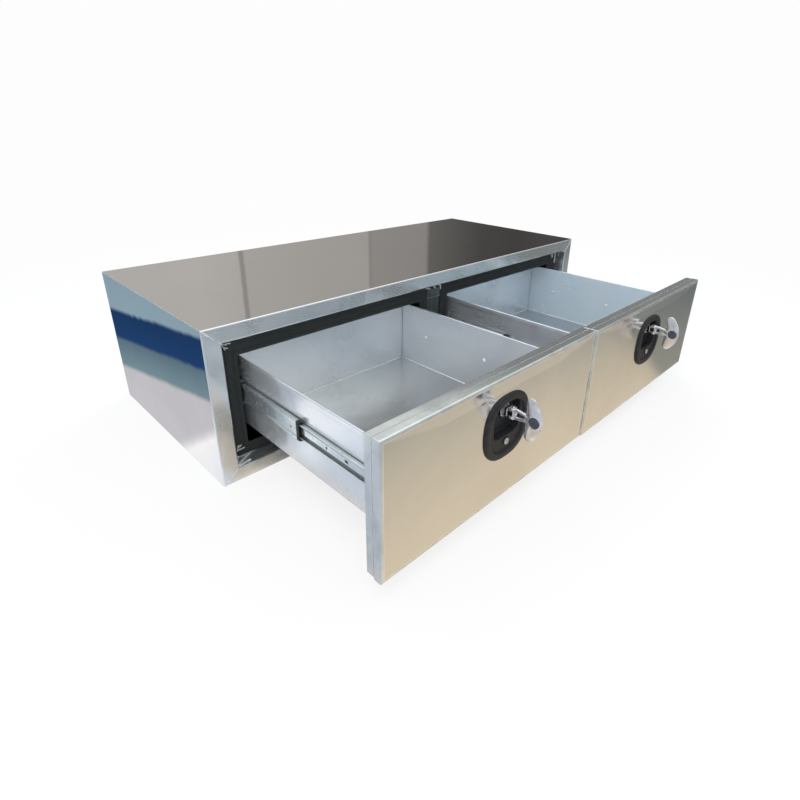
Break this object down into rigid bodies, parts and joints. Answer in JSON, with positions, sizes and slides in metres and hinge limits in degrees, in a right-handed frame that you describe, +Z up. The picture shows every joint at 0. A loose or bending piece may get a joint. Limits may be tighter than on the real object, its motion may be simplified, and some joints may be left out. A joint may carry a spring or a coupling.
{
  "type": "drawer unit",
  "caption": "Low wide sheet-aluminium cabinet with drawers side by side on ball slides, rubber-sealed openings and folding T-handle compression locks in round dishes.",
  "frame": {"origin": "centre of the cabinet's underside", "axes": "+X along the cabinet to its right end, drawers open towards -Y, +Z up"},
  "size_m": [1.2, 0.972, 0.315],
  "materials": {
    "cabinet_aluminium": "bright rolled, slightly brushed",
    "tray_aluminium": "mill finish, smudged",
    "slide_zinc": "bright zinc plate",
    "cage_steel": "oiled bearing steel",
    "lock_chrome": "polished chrome plate",
    "lock_casting": "satin black powder coat",
    "key_barrel_finish": "dark satin",
    "seal_rubber": "matt black",
    "clip_plastic": "black moulded"
  },
  "bodies": {
    "cabinet": {"top_panel": "cabinet_aluminium", "bottom_panel": "cabinet_aluminium", "left_side_panel": "cabinet_aluminium", "right_side_panel": "cabinet_aluminium", "back_panel": "cabinet_aluminium", "centre_divider": "cabinet_aluminium", "left_slide_carrier": "tray_aluminium", "right_slide_carrier": "tray_aluminium", "left_opening_seal": "seal_rubber", "left_outboard_outer_member": "slide_zinc", "left_inboard_outer_member": "slide_zinc", "right_opening_seal": "seal_rubber", "right_outboard_outer_member": "slide_zinc", "right_inboard_outer_member": "slide_zinc"},
    "left_outboard_middle": {"left_outboard_middle_member": "slide_zinc", "left_outboard_end_clip": "clip_plastic"},
    "left_outboard_outer_cage": {"left_outboard_outer_cage": "cage_steel"},
    "left_outboard_inner_cage": {"left_outboard_inner_cage": "cage_steel"},
    "left_inboard_middle": {"left_inboard_middle_member": "slide_zinc", "left_inboard_end_clip": "clip_plastic"},
    "left_inboard_outer_cage": {"left_inboard_outer_cage": "cage_steel"},
    "left_inboard_inner_cage": {"left_inboard_inner_cage": "cage_steel"},
    "left_drawer": {"left_drawer_floor": "tray_aluminium", "left_drawer_outboard_wall": "tray_aluminium", "left_drawer_inboard_wall": "tray_aluminium", "left_drawer_back_wall": "tray_aluminium", "left_drawer_front_skin": "cabinet_aluminium", "left_drawer_front_liner": "tray_aluminium", "left_lock_dish": "lock_casting", "left_lock_clamp_plate": "slide_zinc", "left_outboard_inner_member": "slide_zinc", "left_inboard_inner_member": "slide_zinc"},
    "left_rotor": {"left_lock_rotor": "lock_chrome", "left_lock_pawl": "slide_zinc", "left_lock_hinge_pin": "lock_chrome"},
    "left_handle": {"left_lock_handle": "lock_chrome"},
    "left_key_barrel": {"left_lock_key_barrel": "key_barrel_finish"},
    "right_outboard_middle": {"right_outboard_middle_member": "slide_zinc", "right_outboard_end_clip": "clip_plastic"},
    "right_outboard_outer_cage": {"right_outboard_outer_cage": "cage_steel"},
    "right_outboard_inner_cage": {"right_outboard_inner_cage": "cage_steel"},
    "right_inboard_middle": {"right_inboard_middle_member": "slide_zinc", "right_inboard_end_clip": "clip_plastic"},
    "right_inboard_outer_cage": {"right_inboard_outer_cage": "cage_steel"},
    "right_inboard_inner_cage": {"right_inboard_inner_cage": "cage_steel"},
    "right_drawer": {"right_drawer_floor": "tray_aluminium", "right_drawer_outboard_wall": "tray_aluminium", "right_drawer_inboard_wall": "tray_aluminium", "right_drawer_back_wall": "tray_aluminium", "right_drawer_front_skin": "cabinet_aluminium", "right_drawer_front_liner": "tray_aluminium", "right_lock_dish": "lock_casting", "right_lock_clamp_plate": "slide_zinc", "right_outboard_inner_member": "slide_zinc", "right_inboard_inner_member": "slide_zinc"},
    "right_rotor": {"right_lock_rotor": "lock_chrome", "right_lock_pawl": "slide_zinc", "right_lock_hinge_pin": "lock_chrome"},
    "right_handle": {"right_lock_handle": "lock_chrome"},
    "right_key_barrel": {"right_lock_key_barrel": "key_barrel_finish"}
  },
  "joints": [
    {"name": "left_drawer_slide", "type": "slide", "parent": "cabinet", "child": "left_drawer", "axis": [0, -1, 0], "range_m": [-0.398, 0.052]},
    {"name": "left_outboard_middle_slide", "type": "slide", "parent": "cabinet", "child": "left_outboard_middle", "axis": [0, -1, 0], "range_m": [-0.199, 0.026]},
    {"name": "left_outboard_outer_cage_slide", "type": "slide", "parent": "cabinet", "child": "left_outboard_outer_cage", "axis": [0, -1, 0], "range_m": [-0.0995, 0.013]},
    {"name": "left_outboard_inner_cage_slide", "type": "slide", "parent": "cabinet", "child": "left_outboard_inner_cage", "axis": [0, -1, 0], "range_m": [-0.2985, 0.039]},
    {"name": "left_inboard_middle_slide", "type": "slide", "parent": "cabinet", "child": "left_inboard_middle", "axis": [0, -1, 0], "range_m": [-0.199, 0.026]},
    {"name": "left_inboard_outer_cage_slide", "type": "slide", "parent": "cabinet", "child": "left_inboard_outer_cage", "axis": [0, -1, 0], "range_m": [-0.0995, 0.013]},
    {"name": "left_inboard_inner_cage_slide", "type": "slide", "parent": "cabinet", "child": "left_inboard_inner_cage", "axis": [0, -1, 0], "range_m": [-0.2985, 0.039]},
    {"name": "left_lock_turn", "type": "hinge", "parent": "left_drawer", "child": "left_rotor", "pos_m": [-0.2807, -0.651, 0.207], "axis": [0, 1, 0], "range_deg": [0, 90]},
    {"name": "left_handle_fold", "type": "hinge", "parent": "left_rotor", "child": "left_handle", "pos_m": [-0.2807, -0.661, 0.207], "axis": [0, 0, 1], "range_deg": [0, 90]},
    {"name": "left_key_turn", "type": "hinge", "parent": "left_handle", "child": "left_key_barrel", "pos_m": [-0.2807, -0.704, 0.207], "axis": [-1, 0, 0], "range_deg": [0, 90]},
    {"name": "right_drawer_slide", "type": "slide", "parent": "cabinet", "child": "right_drawer", "axis": [0, -1, 0], "range_m": [-0.4005, 0.0495]},
    {"name": "right_outboard_middle_slide", "type": "slide", "parent": "cabinet", "child": "right_outboard_middle", "axis": [0, -1, 0], "range_m": [-0.20025, 0.02475]},
    {"name": "right_outboard_outer_cage_slide", "type": "slide", "parent": "cabinet", "child": "right_outboard_outer_cage", "axis": [0, -1, 0], "range_m": [-0.10013, 0.01238]},
    {"name": "right_outboard_inner_cage_slide", "type": "slide", "parent": "cabinet", "child": "right_outboard_inner_cage", "axis": [0, -1, 0], "range_m": [-0.30038, 0.03712]},
    {"name": "right_inboard_middle_slide", "type": "slide", "parent": "cabinet", "child": "right_inboard_middle", "axis": [0, -1, 0], "range_m": [-0.20025, 0.02475]},
    {"name": "right_inboard_outer_cage_slide", "type": "slide", "parent": "cabinet", "child": "right_inboard_outer_cage", "axis": [0, -1, 0], "range_m": [-0.10013, 0.01238]},
    {"name": "right_inboard_inner_cage_slide", "type": "slide", "parent": "cabinet", "child": "right_inboard_inner_cage", "axis": [0, -1, 0], "range_m": [-0.30038, 0.03712]},
    {"name": "right_lock_turn", "type": "hinge", "parent": "right_drawer", "child": "right_rotor", "pos_m": [0.2807, -0.6535, 0.207], "axis": [0, 1, 0], "range_deg": [0, 90]},
    {"name": "right_handle_fold", "type": "hinge", "parent": "right_rotor", "child": "right_handle", "pos_m": [0.2807, -0.6635, 0.207], "axis": [0, 0, 1], "range_deg": [0, 90]},
    {"name": "right_key_turn", "type": "hinge", "parent": "right_handle", "child": "right_key_barrel", "pos_m": [0.2807, -0.7065, 0.207], "axis": [-1, 0, 0], "range_deg": [0, 90]}
  ],
  "couplings": [
    {"joint": "left_outboard_middle_slide", "follows": "left_drawer_slide", "ratio": 0.5},
    {"joint": "left_outboard_outer_cage_slide", "follows": "left_drawer_slide", "ratio": 0.25},
    {"joint": "left_outboard_inner_cage_slide", "follows": "left_drawer_slide", "ratio": 0.75},
    {"joint": "left_inboard_middle_slide", "follows": "left_drawer_slide", "ratio": 0.5},
    {"joint": "left_inboard_outer_cage_slide", "follows": "left_drawer_slide", "ratio": 0.25},
    {"joint": "left_inboard_inner_cage_slide", "follows": "left_drawer_slide", "ratio": 0.75},
    {"joint": "right_outboard_middle_slide", "follows": "right_drawer_slide", "ratio": 0.5},
    {"joint": "right_outboard_outer_cage_slide", "follows": "right_drawer_slide", "ratio": 0.25},
    {"joint": "right_outboard_inner_cage_slide", "follows": "right_drawer_slide", "ratio": 0.75},
    {"joint": "right_inboard_middle_slide", "follows": "right_drawer_slide", "ratio": 0.5},
    {"joint": "right_inboard_outer_cage_slide", "follows": "right_drawer_slide", "ratio": 0.25},
    {"joint": "right_inboard_inner_cage_slide", "follows": "right_drawer_slide", "ratio": 0.75}
  ]
}
